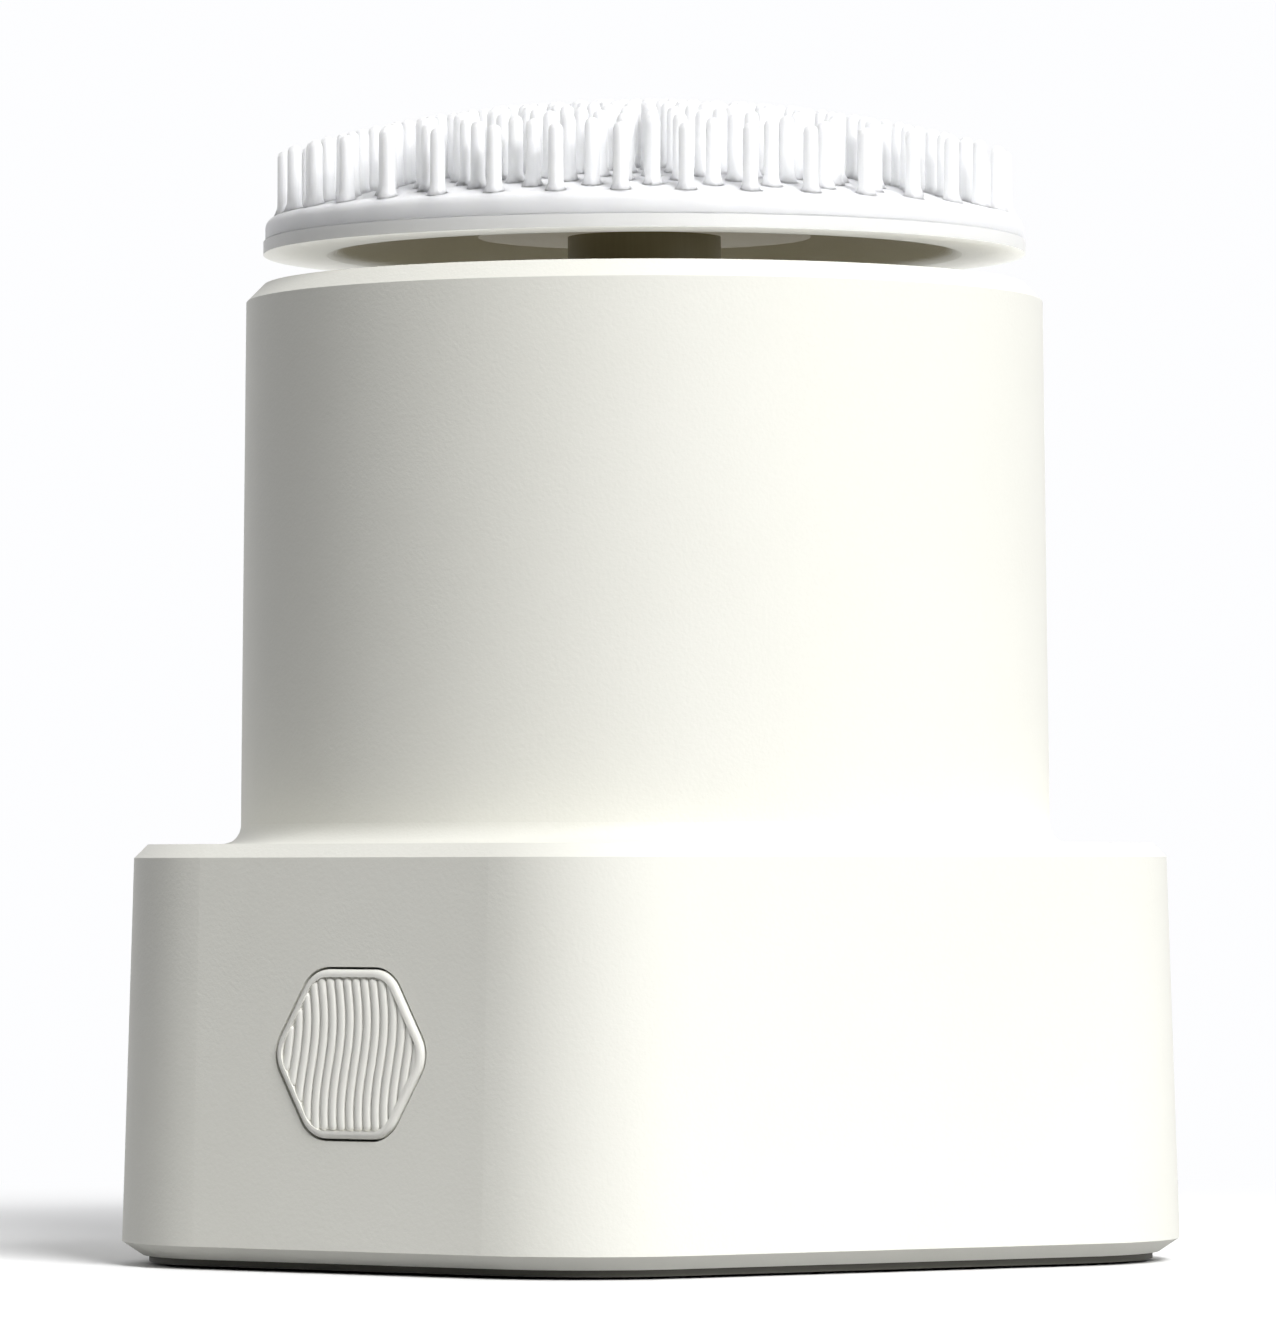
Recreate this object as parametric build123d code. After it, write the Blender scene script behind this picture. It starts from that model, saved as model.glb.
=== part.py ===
"""Desktop air purifier: five-sided base, round tower and a raised cap covered in pins.

Air enters through two grilles in the back of the base, passes inwards through a round
filter, is drawn up by an axial fan and leaves all round under the cap. The cap stands on
a stem that slides down in its bush to close the outlet.

Frame: millimetres, +Z up, origin on the tower's axis at the level of the feet. The face
with the button looks along -Y.
"""
from build123d import *
from math import atan, cos, degrees, radians, sin, sqrt, tan
import os

os.makedirs("parts", exist_ok=True)

# ---------------------------------------------------------------- driving sizes
# base: centres of the rounded corners in plan, measured from the tower's axis
front_left_x = 28.0
front_right_x = 23.8
front_corner_y = 46.8
side_corner_x = 51.3
side_corner_y = 17.0
corner_r = 27.2            # at the foot of the wall
draft_deg = 1.8            # the wall leans inwards by this much
base_top_z = 61.6
wall = 2.6
roof = 3.0                 # thickness of the base's top
foot_chamfer_w = 3.0
foot_chamfer_h = 2.0
base_chamfer = 2.0         # round the top edge of the base

# tower
tower_foot_r = 60.6
tower_lean = 0.85          # how much narrower the tower is at its head
tower_top_z = 145.4
tower_chamfer = 2.6
junction_fillet = 3.0
tower_wall = 2.75

# base plate and feet
plate_gap = 0.4            # the feet stand this far below the plate
plate_edge = 1.0           # thickness of the plate's visible edge
plate_set_back = 1.0
plate_plug = 2.0           # height of the part that fits inside the casing
lip_w = 3.5                # turned-in lip round the casing's bottom
lip_h = 3.0
foot_r = 6.0
foot_h = 1.2
foot_reach = 42.0
boss_r = 4.0
boss_reach = 60.5          # bosses for the plate's screws, from the axis
head_recess = 0.6          # the plate's screws seat this far above the casing's edge
plate_screw_length = 9.0

# fits
slip = 0.3                 # between pieces that are only placed together
snug = 0.05                # between pieces that seat in one another
running = 0.05             # radial, round shafts and sliding stems

# intake grilles, one in each back face
grille_w = 44.0
grille_low_z = 13.5
grille_corner = 4.0
grille_slots = 11
grille_slot_w = 2.2
grille_margin = 3.5
grille_flange = 2.5
grille_flange_t = 1.2

# filter
filter_room = 7.0          # between the filter's end caps and the tower's bore
filter_cap_rim = 4.0       # how far the end caps stand out past the paper
filter_bore_r = 27.0
filter_pleats = 60
filter_cap_t = 3.0
sleeve_t = 1.0
carbon_t = 2.0
gasket_t = 3.0

# fan
duct_room = 15.0           # between the duct's inside and the tower's bore
tip_gap = 1.0
duct_wall = 2.0
duct_h = 24.6
flange_t = 3.0
ledge_w = 6.0
ledge_t = 2.6
hub_r = 17.0
hub_wall = 2.0
hub_h = 18.0
nose_gap = 3.6             # from the duct's flange up to the impeller's nose
blades = 7
blade_t = 1.4
blade_h = 14.0
blade_low = 3.0            # from the nose up to the blades
blade_root_deg = 52
blade_tip_deg = 32
blade_tip_share = 0.8      # height of the tip, as a share of the blade's
motor_low = 6.0            # from the nose up to the magnet and the bearing tube
stator_low = 8.0
stator_h = 9.0
shaft_r = 1.5
bearing_r = 4.0
bearing_w = 3.0
bearing_tube_wall = 1.5
stator_r = 12.4
magnet_t = 2.0
spoke_w = 4.0
bracket_t = 3.0
ear_step = 2.6             # from the duct's outside to the middle of a screw ear
ear_r = 3.4

# outlet guard, bush and stem
mouth_step = 2.5           # the bore is this much narrower at the tower's mouth
guard_depth = 6.4          # from the tower's top down to the guard's seat
guard_low = 1.0            # the guard's face lies this far below the tower's top
guard_rim = 4.2
guard_vanes = 30
guard_vane_t = 1.4
guard_ring_r = 34.0
seat_w = 4.0
seat_t = 2.5
stem_r = 11.5
stem_bore_r = 8.0
stem_roof = 5.0
stem_screw_reach = 4.6
bush_wall = 2.0
bush_length = 22.5
bush_flange = 1.6
bush_flange_t = 0.7
guard_hub_wall = 2.4
seal_w = 1.2
seal_h = 1.4
clip_t = 1.4
clip_w = 2.6
clip_groove = 1.0
stem_tail = 1.4            # stem below the clip
stem_clearance = 1.2       # under the stem when the cap is down

# cap, heights above the tower's top
outlet_gap = 4.6
lip_overhang = 0.05        # past the upper edge of the tower's chamfer
lip_t = 1.9
bead_step = 0.3            # the bead stands back from the lip by this much
bead_h = 3.5
bead_round = 1.5
dome_rise = 7.8
dome_t = 2.2
recess_rim = 9.5           # width of the flat ring under the lip
ceiling_r = 25.0
ceiling_above = 7.4
ceiling_step = 2.8
skirt_w = 6.9              # width of the dome's foot on the lip
pin_r = 1.15
pin_h = 9.6
pin_ring_inset = 2.8       # outermost ring of pins, in from the bead
pin_ring_step = 3.75
pins_per_ring = 36
full_rings = 10
pin_phase_deg = 1.6

# button
button_across = 24.2       # between opposite flats
button_corner = 5.0
button_gap = 0.35
button_proud = 0.5
button_edge_round = 0.8
button_rim = 1.1           # border round the ribbed pocket in the button's face
pocket_depth = 0.55
flange_gap = 0.9           # flange to the casing's inside when the button is out
button_tail = 0.5          # the button's body reaches this far past its flange
button_flange = 1.4
button_flange_t = 1.2
button_travel = 0.8
guide_wall = 2.4
guide_back_t = 1.6
plunger_boss_r = 3.5
plunger_r = 1.6
switch_w = 6.2
switch_t = 3.4
board_w = 24.0
board_h = 34.0
board_t = 1.6
post_x = 9.0               # the two posts that carry the control board
post_r = 2.6
chip_w = 7.0
chip_h = 1.1
plunger_step = 1.4         # the plunger reaches this far into the switch

# power inlet
socket_w = 9.0
socket_h = 3.2
socket_wall = 0.3
socket_depth = 7.4
socket_z = 8.6
power_board_w = 20.0

# screws: shank radius, head radius, head height
screw_r = 1.25
screw_head_r = 2.4
screw_head_h = 1.6
small_screw_r = 1.0        # the guard's countersunk screws
small_head_r = 1.5
small_head_h = 1.2

# ---------------------------------------------------------------- derived places
casing_z = plate_gap + plate_edge
wall_foot_z = casing_z + foot_chamfer_h
wall_top_z = base_top_z - base_chamfer
plug_top_z = casing_z + plate_plug
lip_top_z = casing_z + lip_h
lean = tan(radians(draft_deg))

back_corner_y = front_corner_y        # keeps the outline centred on the axis
corners = [
    (front_right_x, -front_corner_y),
    (side_corner_x, side_corner_y),
    (0, back_corner_y),
    (-side_corner_x, side_corner_y),
    (-front_left_x, -front_corner_y),
]
button_z = (casing_z + base_top_z) / 2
grille_h = 2 * (button_z - grille_low_z)

# radii, from the tower's outside inwards
tower_head_r = tower_foot_r - tower_lean
tower_bore_r = tower_head_r - tower_wall
guard_r = tower_bore_r - mouth_step
duct_r = tower_bore_r - duct_room
impeller_r = duct_r - tip_gap
bracket_ear_reach = duct_r + duct_wall + ear_step
filter_cap_r = tower_bore_r - filter_room
filter_r = filter_cap_r - filter_cap_rim
bush_r = stem_r + running + bush_wall
guard_hub_r = bush_r + snug + guard_hub_wall

# heights, from the tower's top downwards
guard_z = tower_top_z - guard_depth
guard_top_z = tower_top_z - guard_low
seat_z = guard_z - seat_t
cap_travel = outlet_gap - slip
bush_z = guard_top_z + bush_flange_t - bush_length
clip_z = bush_z - slip - clip_t
bracket_top_z = clip_z - stem_tail - cap_travel - stem_clearance
duct_top_z = bracket_top_z - bracket_t
ledge_z = duct_top_z - duct_h
flange_z = ledge_z - flange_t
gasket_z = flange_z - gasket_t
filter_top_z = gasket_z - filter_cap_t
filter_z = plug_top_z + filter_cap_t
filter_h = filter_top_z - filter_z
nose_z = ledge_z + nose_gap
hub_top_z = nose_z + hub_h

# cap
lip_r = tower_head_r - tower_chamfer + lip_overhang
bead_r = lip_r - bead_step
recess_r = lip_r - recess_rim
skirt_r = bead_r - skirt_w
pin_ring_r = bead_r - pin_ring_inset
cap_z = tower_top_z + outlet_gap
bead_z = cap_z + lip_t
bead_top_z = bead_z + bead_h
dome_edge_r = bead_r - bead_round
dome_top_z = bead_top_z + dome_rise
ceiling_z = tower_top_z + ceiling_above


# ---------------------------------------------------------------- shared shapes
def plan(grow):
    """Outline of the base with rounded corners, grown by a distance."""
    return offset(Polygon(*corners, align=None), amount=corner_r + grow, kind=Kind.ARC)


def prism(grow, z0, z1, taper=0.0):
    return extrude(Pos(0, 0, z0) * plan(grow), z1 - z0, taper=taper)


def wall_block(grow, z0, z1):
    """Solid between two levels whose sides are the base's leaning wall, grown."""
    return prism(grow - (z0 - wall_foot_z) * lean, z0, z1, draft_deg)


def tube(outer, inner, z0, z1):
    ring = Circle(outer) - Circle(inner)
    return extrude(Pos(0, 0, z0) * ring, z1 - z0)


def disc(radius, z0, z1):
    return extrude(Pos(0, 0, z0) * Circle(radius), z1 - z0)


def spun(edges):
    """Solid of revolution about Z from a closed outline drawn as (radius, height)."""
    return revolve(Plane.XZ * make_face(edges), Axis.Z)


def round_pattern(reach, count, start_deg=0.0):
    step = 360 / count
    return [Rot(0, 0, start_deg + i * step) * Pos(reach, 0, 0) for i in range(count)]


def screw(z_under_head, length, up=True):
    """Pan-head screw on Z whose shank points up or down from its head."""
    way = 1 if up else -1
    shank = extrude(Pos(0, 0, z_under_head) * Circle(screw_r), way * length)
    head = extrude(Pos(0, 0, z_under_head) * Circle(screw_head_r), -way * screw_head_h)
    slot = Pos(0, 0, z_under_head - way * screw_head_h) * Box(3.0, 0.7, 1.2)
    return shank + head - slot


def across_y(sketch, y, depth):
    """Solid from a sketch drawn as (x, z) and pushed back from a plane at y."""
    plane = Plane(origin=(0, y, 0), x_dir=(1, 0, 0), z_dir=(0, -1, 0))
    return extrude(plane * sketch, -depth)


def hexagon(flats, corner):
    shape = RegularPolygon(flats / sqrt(3), 6)
    return fillet(shape.vertices(), corner)


def back_face(side):
    """Plane through the two corner centres behind a back face, looking outwards, y axis up."""
    heading = atan((back_corner_y - side_corner_y) / side_corner_x)
    out = Vector(side * sin(heading), cos(heading), 0)
    middle = (side * side_corner_x / 2, (side_corner_y + back_corner_y) / 2, 0)
    return Plane(origin=middle, x_dir=Vector(0, 0, 1).cross(out), z_dir=out)


def through_back(side, sketch, start=0.0, depth=45.0):
    """Solid that runs outwards through a back face; the sketch is (along, up)."""
    return extrude(back_face(side).offset(start) * sketch, depth)


def ball_height(radius, low, high):
    """Height at a radius on the ball that is centred on Z and passes through two points."""
    (r1, z1), (r2, z2) = low, high
    middle = (r1 ** 2 + z1 ** 2 - r2 ** 2 - z2 ** 2) / (2 * (z1 - z2))
    ball = sqrt(r1 ** 2 + (z1 - middle) ** 2)
    return middle + sqrt(ball ** 2 - radius ** 2)


def ball_arc(low, high):
    mid_r = (low[0] + high[0]) / 2
    return ThreePointArc(low, (mid_r, ball_height(mid_r, low, high)), high)


def dome_height(radius):
    return ball_height(radius, (dome_edge_r, bead_top_z), (0, dome_top_z))


# ---------------------------------------------------------------- casing
def boss_places():
    places = []
    for x, y in corners:
        reach = sqrt(x * x + y * y)
        places.append((x / reach * boss_reach, y / reach * boss_reach))
    return places


def tower_outside():
    foot = base_top_z
    return spun([
        Line((0, foot - 1), (tower_foot_r + junction_fillet, foot - 1)),
        Line((tower_foot_r + junction_fillet, foot - 1), (tower_foot_r + junction_fillet, foot)),
        RadiusArc((tower_foot_r + junction_fillet, foot),
                  (tower_foot_r, foot + junction_fillet), junction_fillet),
        Line((tower_foot_r, foot + junction_fillet), (tower_head_r, tower_top_z - tower_chamfer)),
        Line((tower_head_r, tower_top_z - tower_chamfer), (tower_head_r - tower_chamfer, tower_top_z)),
        Line((tower_head_r - tower_chamfer, tower_top_z), (0, tower_top_z)),
        Line((0, tower_top_z), (0, foot - 1)),
    ])


def base_outside():
    spread = -degrees(atan(foot_chamfer_w / foot_chamfer_h))
    top_grow = -(wall_top_z - wall_foot_z) * lean
    return (prism(-foot_chamfer_w, casing_z, wall_foot_z, spread)
            + wall_block(0, wall_foot_z, wall_top_z)
            + prism(top_grow, wall_top_z, base_top_z, 45))


def grille_window(side, grow):
    shape = RectangleRounded(grille_w + 2 * grow, grille_h + 2 * grow, grille_corner + grow)
    return through_back(side, Pos(0, button_z) * shape)


def socket_shape(grow):
    return Pos(0, socket_z) * SlotOverall(socket_w + 2 * grow, socket_h + 2 * grow)


def outer_casing():
    body = base_outside() + tower_outside()
    body -= wall_block(-wall, lip_top_z, base_top_z - roof)
    body -= prism(-foot_chamfer_w - lip_w, casing_z - 1, lip_top_z + 1)
    body -= disc(tower_bore_r, base_top_z - roof - 1, seat_z)
    body -= disc(guard_r - seat_w, seat_z - 1, guard_z + 1)
    body -= disc(guard_r, guard_z, tower_top_z + 1)
    body += tube(tower_bore_r + 0.5, tower_bore_r - ledge_w, ledge_z, ledge_z + ledge_t)
    posts = [Pos(x, y, 0) * tube(boss_r, screw_r + snug, plug_top_z, base_top_z - roof + 0.5)
             for x, y in boss_places()]
    body += posts
    body -= across_y(Pos(0, button_z) * hexagon(button_across + 2 * button_gap, button_corner + button_gap),
                     -front_corner_y - corner_r - 5, 15)
    for side in (-1, 1):
        body -= grille_window(side, 0)
    body -= through_back(1, socket_shape(slip))
    holes = [p * disc(screw_r + snug, ledge_z - 1, ledge_z + ledge_t + 1)
             for p in round_pattern(tower_bore_r - ledge_w / 2, 4, 45)]
    holes += [p * disc(small_screw_r + snug, seat_z - 1, guard_z + 1)
              for p in round_pattern(guard_r - seat_w / 2, 4, 45)]
    # two touching solids, so that the step round the tower's foot stays open in collision
    return split(body - holes, bisect_by=Plane.XY.offset(base_top_z), keep=Keep.BOTH)


def base_plate():
    plate = prism(-foot_chamfer_w - plate_set_back, plate_gap, casing_z)
    plate += prism(-foot_chamfer_w - lip_w - slip, casing_z, plug_top_z)
    for x, y in corners:
        reach = sqrt(x * x + y * y)
        plate -= Pos(x / reach * foot_reach, y / reach * foot_reach, 0) * disc(foot_r + snug, 0, foot_h)
    for x, y in boss_places():
        plate -= Pos(x, y, 0) * disc(screw_r + slip, 0, plug_top_z + 1)
        plate -= Pos(x, y, 0) * disc(screw_head_r + slip, 0, casing_z + head_recess)
    return plate


def rubber_feet():
    feet = []
    for x, y in corners:
        reach = sqrt(x * x + y * y)
        foot = disc(foot_r, 0, foot_h)
        foot = chamfer(foot.edges().group_by(Axis.Z)[0], 0.3)
        feet.append(Pos(x / reach * foot_reach, y / reach * foot_reach, 0) * foot)
    return Compound(children=feet)


def base_screws():
    return Compound(children=[Pos(x, y, 0) * screw(casing_z + head_recess, plate_screw_length)
                              for x, y in boss_places()])


def intake_grille(side):
    shell = wall_block(-0.1, wall_foot_z, wall_top_z) - wall_block(-wall - 0.1, lip_top_z, wall_top_z)
    inner = wall_block(-wall - 0.1, lip_top_z, wall_top_z - 2)
    inner -= wall_block(-wall - 0.1 - grille_flange_t, lip_top_z - 1, wall_top_z)
    panel = grille_window(side, -slip) & shell
    panel += grille_window(side, grille_flange) & inner
    pitch = (grille_w - 2 * grille_margin) / grille_slots
    slot = SlotOverall(grille_h - 2 * grille_margin, grille_slot_w, rotation=90)
    for i in range(grille_slots):
        along = (i - (grille_slots - 1) / 2) * pitch
        panel -= through_back(side, Pos(along, button_z) * slot)
    return panel


# ---------------------------------------------------------------- filter
def filter_media():
    """Pleated paper ring: a zigzag outline, pushed up."""
    points = []
    for i in range(2 * filter_pleats):
        reach = filter_r if i % 2 == 0 else filter_bore_r + carbon_t + snug + 1.2
        angle = radians(i * 180 / filter_pleats)
        points.append((reach * cos(angle), reach * sin(angle)))
    star = Polygon(*points, align=None)
    inside = filter_bore_r + carbon_t + snug
    return extrude(Pos(0, 0, filter_z) * (star - Circle(inside)), filter_h)


def carbon_layer():
    return tube(filter_bore_r + carbon_t, filter_bore_r, filter_z, filter_top_z)


def prefilter_sleeve():
    inner = filter_r + snug
    return tube(inner + sleeve_t, inner, filter_z, filter_top_z)


def filter_bottom_cap():
    cap = disc(filter_cap_r, plug_top_z, filter_z)
    return fillet(cap.edges().filter_by(GeomType.CIRCLE), 0.8)


def filter_top_cap():
    cap = tube(filter_cap_r, filter_bore_r, filter_top_z, gasket_z)
    return fillet(cap.edges().group_by(Axis.Z)[-1], 0.8)


def filter_gasket():
    return tube(filter_bore_r + 9, filter_bore_r + 3, gasket_z, flange_z)


# ---------------------------------------------------------------- fan
def fan_duct():
    duct = tube(tower_bore_r - slip, duct_r - 8, flange_z, ledge_z)
    duct += tube(duct_r + duct_wall, duct_r, ledge_z - 1, duct_top_z)
    for place in round_pattern(bracket_ear_reach, 4):
        duct += place * tube(ear_r, screw_r + snug, ledge_z - 0.5, duct_top_z)
        duct += place * Pos(-ear_r - 0.6, 0, (ledge_z + duct_top_z) / 2) * Box(2.4, 2.4, duct_h)
    for place in round_pattern(tower_bore_r - ledge_w / 2, 4, 45):
        duct -= place * disc(screw_r + snug, flange_z - 1, ledge_z + 1)
    return duct


def duct_screws():
    long = flange_t + ledge_t - 0.4
    return Compound(children=[p * screw(flange_z, long)
                              for p in round_pattern(tower_bore_r - ledge_w / 2, 4, 45)])


def motor_bracket():
    bracket = disc(hub_r + 1, duct_top_z, bracket_top_z)
    bracket += tube(duct_r + duct_wall, duct_r - 1, duct_top_z, bracket_top_z)
    middle = (hub_r + duct_r) / 2
    spoke = Pos(0, 0, duct_top_z + bracket_t / 2) * Box(duct_r - hub_r + 2, spoke_w, bracket_t)
    bracket += [place * spoke for place in round_pattern(middle, 4)]
    for place in round_pattern(bracket_ear_reach, 4):
        bracket += place * disc(ear_r, duct_top_z, bracket_top_z)
    bracket += disc(bearing_r + snug + bearing_tube_wall, nose_z + motor_low, duct_top_z + 1)
    bracket -= disc(bearing_r + snug, nose_z + motor_low - 1, bracket_top_z + 1)
    for place in round_pattern(bracket_ear_reach, 4):
        bracket -= place * disc(screw_r + snug, duct_top_z - 1, bracket_top_z + 1)
    return bracket


def bracket_screws():
    return Compound(children=[p * screw(bracket_top_z, 11.0, up=False)
                              for p in round_pattern(bracket_ear_reach, 4)])


def motor_bearings():
    low = nose_z + motor_low + 0.5
    high = duct_top_z - bearing_w - 0.5
    return Compound(children=[tube(bearing_r, shaft_r + running, z, z + bearing_w) for z in (low, high)])


def motor_stator():
    inner = bearing_r + 2 * snug + bearing_tube_wall
    core = Circle(inner + 2.2) - Circle(inner)
    for place in round_pattern(0, 6):
        core += place * Pos(inner + 3.2, 0) * Rectangle(3.6, 2.6)
        shoe = Circle(stator_r) - Circle(stator_r - 1.8)
        core += place * (shoe & Pos(stator_r, 0) * Rectangle(8, 8.6))
    return extrude(Pos(0, 0, nose_z + stator_low) * core, stator_h)


def rotor_magnet():
    outer = hub_r - hub_wall - snug
    return tube(outer, outer - magnet_t, nose_z + motor_low, hub_top_z - 1)


def motor_shaft():
    return disc(shaft_r, nose_z + 1, duct_top_z + 1)


def impeller_blade():
    """One twisted blade from the hub's wall to beyond the tip, before it is trimmed."""
    middle_z = nose_z + blade_low + blade_h / 2
    root_r = hub_r - hub_wall / 2 - 0.6
    root = Plane(origin=(root_r, 0, middle_z), z_dir=(1, 0, 0), x_dir=(0, 1, 0))
    tip = Plane(origin=(impeller_r + 2, 0, middle_z), z_dir=(1, 0, 0), x_dir=(0, 1, 0))
    root_h = blade_h / sin(radians(blade_root_deg))
    tip_h = blade_tip_share * blade_h / sin(radians(blade_tip_deg))
    low = root * Rectangle(root_h, blade_t, rotation=blade_root_deg)
    high = tip * Rectangle(tip_h, blade_t, rotation=blade_tip_deg)
    return loft([low, high], ruled=True)


def impeller():
    hub = disc(hub_r, nose_z, hub_top_z)
    hub = fillet(hub.edges().group_by(Axis.Z)[0], 1.6)
    blade = impeller_blade()
    band = tube(impeller_r, hub_r - hub_wall + 0.2, nose_z, hub_top_z)
    for place in round_pattern(0, blades):
        hub += place * (blade & band)
    hub -= disc(hub_r - hub_wall, nose_z + hub_wall, hub_top_z + 1)
    hub += disc(shaft_r + 2.5, nose_z + hub_wall - 0.5, nose_z + 5)
    return hub - disc(shaft_r + snug / 2, nose_z + 1, nose_z + 6)


# ---------------------------------------------------------------- outlet guard and stem
def outlet_guard():
    outer = guard_r - slip
    guard = tube(outer, outer - guard_rim, guard_z, guard_top_z)
    guard += tube(guard_hub_r, bush_r + snug, bush_z + 2, guard_top_z)
    guard += tube(guard_ring_r + guard_vane_t, guard_ring_r, guard_z + 1, guard_top_z)
    length = outer - guard_rim - guard_hub_r + 2
    middle = (outer - guard_rim + guard_hub_r) / 2
    height = guard_top_z - guard_z - 1
    vane = Pos(middle, 0, guard_top_z - height / 2) * Box(length, guard_vane_t, height)
    guard += [Rot(0, 0, i * 360 / guard_vanes) * vane for i in range(guard_vanes)]
    for place in round_pattern(guard_r - seat_w / 2, 4, 45):
        guard -= place * disc(small_screw_r + snug, guard_z - 1, guard_top_z + 1)
        guard -= place * disc(small_head_r + snug, guard_top_z - small_head_h, guard_top_z + 1)
    return guard


def guard_screws():
    small = []
    for place in round_pattern(guard_r - seat_w / 2, 4, 45):
        shank = disc(small_screw_r, seat_z + 0.4, guard_top_z - small_head_h)
        head = disc(small_head_r, guard_top_z - small_head_h, guard_top_z - 0.1)
        slot = Pos(0, 0, guard_top_z) * Box(2.2, 0.5, 0.9)
        small.append(place * (shank + head - slot))
    return Compound(children=small)


def stem_bush():
    bush = tube(bush_r, stem_r + running, bush_z, guard_top_z + bush_flange_t)
    bush += tube(bush_r + bush_flange, bush_r - 0.5, guard_top_z, guard_top_z + bush_flange_t)
    seal_room_z = guard_top_z + bush_flange_t - seal_h - 0.2
    return bush - disc(stem_r + running + seal_w + snug, seal_room_z, tower_top_z)


def stem_seal():
    top = guard_top_z + bush_flange_t - 0.1
    return tube(stem_r + running + seal_w, stem_r + running, top - seal_h, top)


def stem_screw_places():
    return round_pattern(stem_screw_reach, 3)


def cap_stem():
    stem = disc(stem_r, clip_z - stem_tail, ceiling_z)
    stem = chamfer(stem.edges().group_by(Axis.Z)[0], 0.6)
    stem -= disc(stem_bore_r, clip_z - stem_tail - 1, ceiling_z - stem_roof)
    stem -= tube(stem_r + 1, stem_r - clip_groove, clip_z - snug, clip_z + clip_t + snug)
    for place in stem_screw_places():
        stem -= place * disc(screw_r + snug, ceiling_z - stem_roof - 1, ceiling_z + 1)
    return stem


def stem_clip():
    inner = stem_r - clip_groove + snug
    ring = tube(inner + clip_w, inner, clip_z, clip_z + clip_t)
    return ring - Pos(stem_r, 0, clip_z + clip_t / 2) * Box(10, 9, 4)


def stem_screws():
    return Compound(children=[p * screw(ceiling_z - stem_roof, stem_roof + 4.5)
                              for p in stem_screw_places()])


# ---------------------------------------------------------------- cap
def cap_carrier():
    top_r = skirt_r - slip
    top_edge_z = bead_z + lip_t
    crown_z = dome_top_z - dome_t - 1.6
    recess_top_z = ceiling_z + ceiling_step
    carrier = spun([
        Line((0, ceiling_z), (ceiling_r, ceiling_z)),
        Line((ceiling_r, ceiling_z), (ceiling_r, recess_top_z)),
        ball_arc((ceiling_r, recess_top_z), (recess_r, cap_z)),
        Line((recess_r, cap_z), (lip_r, cap_z)),
        Line((lip_r, cap_z), (lip_r, bead_z)),
        Line((lip_r, bead_z), (top_r, bead_z)),
        Line((top_r, bead_z), (top_r, top_edge_z)),
        ball_arc((top_r, top_edge_z), (0, crown_z)),
        Line((0, crown_z), (0, ceiling_z)),
    ])
    return carrier - [p * disc(screw_r + snug, ceiling_z - 1, ceiling_z + 5) for p in stem_screw_places()]


def cap_dome():
    inner_edge = (skirt_r, dome_height(skirt_r) - dome_t)
    return spun([
        Line((skirt_r, bead_z), (bead_r, bead_z)),
        Line((bead_r, bead_z), (bead_r, bead_top_z - bead_round)),
        RadiusArc((bead_r, bead_top_z - bead_round), (dome_edge_r, bead_top_z), -bead_round),
        ball_arc((dome_edge_r, bead_top_z), (0, dome_top_z)),
        Line((0, dome_top_z), (0, dome_top_z - dome_t)),
        ball_arc((0, dome_top_z - dome_t), inner_edge),
        Line(inner_edge, (skirt_r, bead_z)),
    ])


def pin_places():
    """Staggered rings of pins: full rings outside, thinning out near the middle."""
    places = []
    inner_counts = [24, 18, 12, 6]
    for ring in range(full_rings + len(inner_counts)):
        reach = pin_ring_r - ring * pin_ring_step
        count = pins_per_ring if ring < full_rings else inner_counts[ring - full_rings]
        shift = pin_phase_deg + (180 / count if ring % 2 else 0)
        for i in range(count):
            angle = radians(shift + i * 360 / count)
            places.append((reach * cos(angle), reach * sin(angle), dome_height(reach)))
    places.append((0, 0, dome_top_z))
    return places


def pin_cap():
    shank = disc(pin_r, -1.0, pin_h - pin_r)
    pin = shank + Pos(0, 0, pin_h - pin_r) * Sphere(pin_r)
    pins = [Pos(*place) * pin for place in pin_places()]
    return cap_dome() + pins


# ---------------------------------------------------------------- button and electronics
button_face_y = -(front_corner_y + corner_r - (button_z - wall_foot_z) * lean)
flange_front_y = button_face_y + wall + flange_gap
flange_back_y = flange_front_y + button_flange_t
guide_back_y = flange_back_y + button_travel + 2.4
boss_end_y = guide_back_y + guide_back_t - 0.4
board_y = guide_back_y + guide_back_t + 0.6 + switch_t


def button_cap():
    face = across_y(Pos(0, button_z) * hexagon(button_across, button_corner),
                    button_face_y - 3, flange_back_y + button_tail - button_face_y + 3)
    face &= wall_block(button_proud, wall_foot_z, wall_top_z)
    face = fillet(face.faces().sort_by(Axis.Y)[0].edges(), button_edge_round)
    inside = hexagon(button_across - 2 * button_rim, button_corner - button_rim)
    pocket = across_y(Pos(0, button_z) * inside, button_face_y - 3, 5)
    face -= pocket - wall_block(button_proud - pocket_depth, wall_foot_z, wall_top_z)
    flange_shape = hexagon(button_across + 2 * button_flange, button_corner + button_flange)
    flange = across_y(Pos(0, button_z) * flange_shape, flange_front_y, button_flange_t)
    boss = across_y(Pos(0, button_z) * Circle(plunger_boss_r), flange_front_y, boss_end_y - flange_front_y)
    return face + flange + boss


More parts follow.
